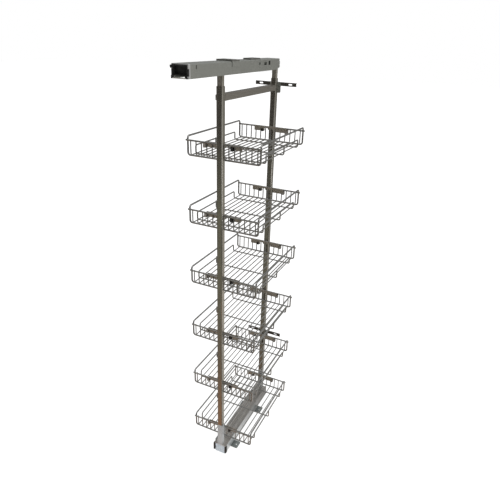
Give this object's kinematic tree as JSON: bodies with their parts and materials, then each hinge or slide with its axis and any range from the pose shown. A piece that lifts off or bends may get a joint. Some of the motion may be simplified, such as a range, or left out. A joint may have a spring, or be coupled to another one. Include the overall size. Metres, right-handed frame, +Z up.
{
  "type": "pull out larder unit",
  "caption": "Tall pull-out larder frame: wire baskets hung between two telescopic posts, on ball runners at the cabinet floor and top.",
  "frame": {"origin": "middle of the footprint on the cabinet floor, at the underside of the floor lugs", "axes": "+Z up, -Y towards the cabinet door (the way the larder pulls out), X across the narrow cabinet"},
  "size_m": [0.257, 0.6044, 1.48],
  "materials": {
    "zinc": "zinc plated, satin",
    "channel_dark": "satin",
    "nickel": "satin nickel",
    "wire_chrome": "bright",
    "hanger_bronze": "satin",
    "foot_grey": "satin",
    "black_plastic": "matt",
    "screw_steel": "plated"
  },
  "bodies": {
    "floor_track": {"bottom_track": "zinc", "front_floor_lug": "zinc", "rear_floor_lug": "zinc"},
    "bottom_slide_body": {"bottom_slide": "zinc"},
    "bottom_inner_cage": {"bottom_inner_balls": "screw_steel"},
    "bottom_outer_cage": {"bottom_outer_balls": "screw_steel"},
    "larder_frame": {"bottom_channel": "channel_dark", "channel_end_caps": "black_plastic", "front_foot": "foot_grey", "rear_foot": "foot_grey", "front_post": "nickel", "rear_post": "nickel", "cross_bar": "nickel", "cross_bar_screws": "screw_steel", "basket_1": "wire_chrome", "basket_2": "wire_chrome", "basket_3": "wire_chrome", "basket_4": "wire_chrome", "basket_5": "wire_chrome", "basket_6": "wire_chrome", "front_hanger_1": "hanger_bronze", "front_hanger_2": "hanger_bronze", "front_hanger_3": "hanger_bronze", "front_hanger_4": "hanger_bronze", "front_hanger_5": "hanger_bronze", "front_hanger_6": "hanger_bronze", "rear_hanger_1": "hanger_bronze", "rear_hanger_2": "hanger_bronze", "rear_hanger_3": "hanger_bronze", "rear_hanger_4": "hanger_bronze", "rear_hanger_5": "hanger_bronze", "rear_hanger_6": "hanger_bronze", "front_clips": "black_plastic", "rear_clips": "black_plastic", "front_hanger_screws": "screw_steel", "rear_hanger_screws": "screw_steel", "upper_door_plate": "zinc", "lower_door_plate": "zinc", "door_screws": "screw_steel"},
    "upper_bar": {"upper_door_bar": "channel_dark"},
    "lower_bar": {"lower_door_bar": "channel_dark"},
    "upper_frame": {"front_upper_post": "nickel", "rear_upper_post": "nickel", "top_inner_rail": "zinc"},
    "top_fixed": {"top_track": "zinc", "front_top_plate": "zinc", "rear_top_plate": "zinc", "rear_plug": "black_plastic"},
    "top_slide_body": {"top_slide": "zinc"},
    "top_inner_cage": {"top_inner_balls": "screw_steel"},
    "top_outer_cage": {"top_outer_balls": "screw_steel"}
  },
  "joints": [
    {"name": "pull_out", "type": "slide", "parent": "floor_track", "child": "larder_frame", "axis": [0, -1, 0], "range_m": [0, 0.4]},
    {"name": "bottom_slide_run", "type": "slide", "parent": "floor_track", "child": "bottom_slide_body", "axis": [0, -1, 0], "range_m": [0, 0.2]},
    {"name": "bottom_inner_cage_run", "type": "slide", "parent": "floor_track", "child": "bottom_inner_cage", "axis": [0, -1, 0], "range_m": [0, 0.1]},
    {"name": "bottom_outer_cage_run", "type": "slide", "parent": "floor_track", "child": "bottom_outer_cage", "axis": [0, -1, 0], "range_m": [0, 0.3]},
    {"name": "height_adjust", "type": "slide", "parent": "larder_frame", "child": "upper_frame", "axis": [0, 0, 1], "range_m": [0, 0.2]},
    {"name": "top_track_height", "type": "slide", "parent": "floor_track", "child": "top_fixed", "axis": [0, 0, 1], "range_m": [0, 0.2]},
    {"name": "top_slide_run", "type": "slide", "parent": "top_fixed", "child": "top_slide_body", "axis": [0, -1, 0], "range_m": [0, 0.2]},
    {"name": "top_outer_cage_run", "type": "slide", "parent": "top_fixed", "child": "top_outer_cage", "axis": [0, -1, 0], "range_m": [0, 0.1]},
    {"name": "top_inner_cage_run", "type": "slide", "parent": "top_fixed", "child": "top_inner_cage", "axis": [0, -1, 0], "range_m": [0, 0.3]},
    {"name": "upper_bar_tilt", "type": "hinge", "parent": "larder_frame", "child": "upper_bar", "pos_m": [0, -0.29785, 1.393], "axis": [0, 1, 0], "range_deg": [-5, 5]},
    {"name": "lower_bar_tilt", "type": "hinge", "parent": "larder_frame", "child": "lower_bar", "pos_m": [0, -0.29785, 0.354], "axis": [0, 1, 0], "range_deg": [-5, 5]}
  ],
  "couplings": [
    {"joint": "bottom_slide_run", "follows": "pull_out", "ratio": 0.5},
    {"joint": "bottom_inner_cage_run", "follows": "pull_out", "ratio": 0.25},
    {"joint": "bottom_outer_cage_run", "follows": "pull_out", "ratio": 0.75},
    {"joint": "top_slide_run", "follows": "pull_out", "ratio": 0.5},
    {"joint": "top_outer_cage_run", "follows": "pull_out", "ratio": 0.25},
    {"joint": "top_inner_cage_run", "follows": "pull_out", "ratio": 0.75},
    {"joint": "top_track_height", "follows": "height_adjust", "ratio": 1}
  ]
}
